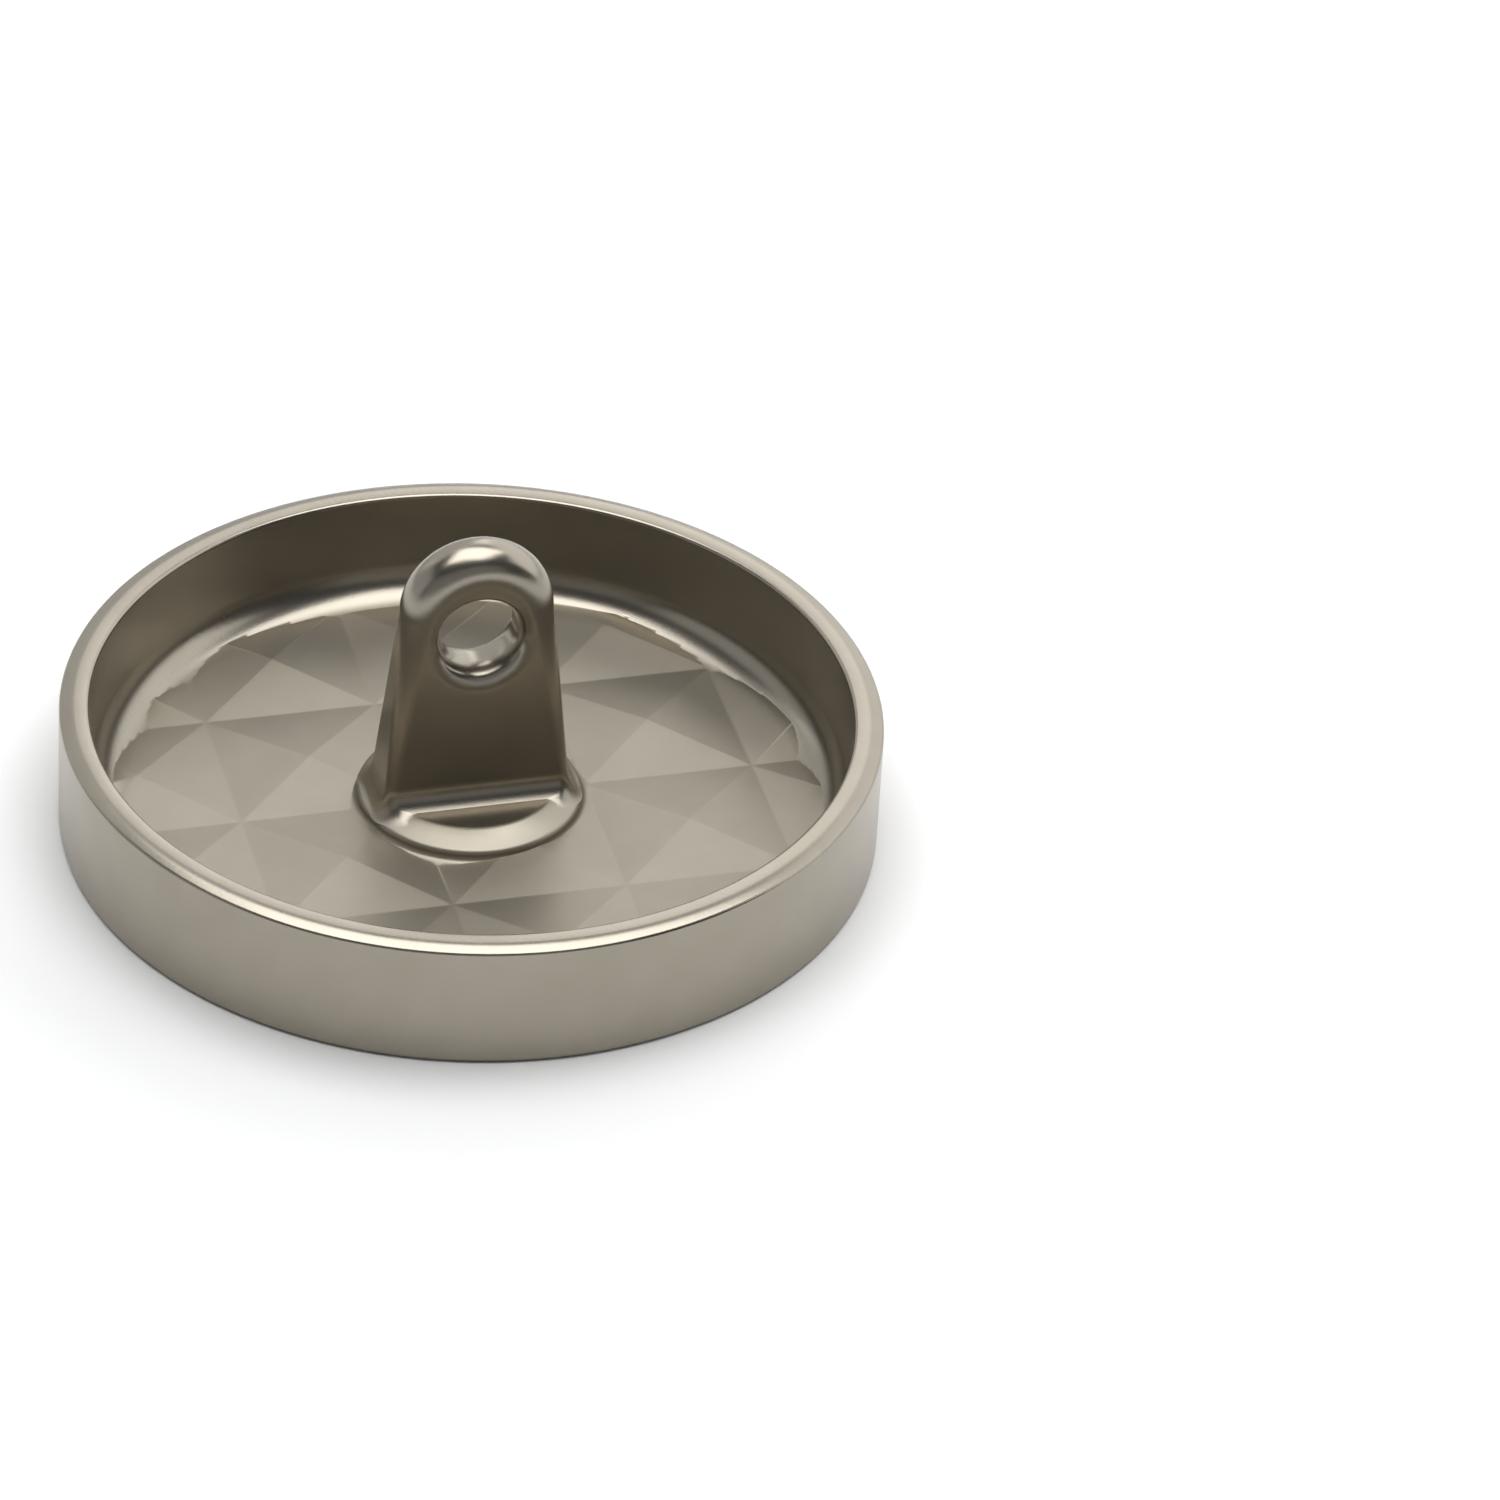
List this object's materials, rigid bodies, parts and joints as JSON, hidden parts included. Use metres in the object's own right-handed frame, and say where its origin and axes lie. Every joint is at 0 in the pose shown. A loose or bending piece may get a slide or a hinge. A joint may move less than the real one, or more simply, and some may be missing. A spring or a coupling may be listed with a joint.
{
  "type": "shank button",
  "caption": "Round metal garment button: flat face, shallow hollow back with a raised rim and faceted floor, and a flat blade shank with a thread eye.",
  "frame": {"origin": "centre of the flat face, at the bottom of the box; the face lies in z = 0", "axes": "+Z along the button's axis, from the face towards the shank; +X along the blade's width; +Y along the thread eye"},
  "size_m": [0.025, 0.025, 0.01],
  "materials": {
    "plating": "satin nickel plating on cast zinc alloy"
  },
  "bodies": {
    "root": {"shank_button": "plating"}
  },
  "joints": []
}
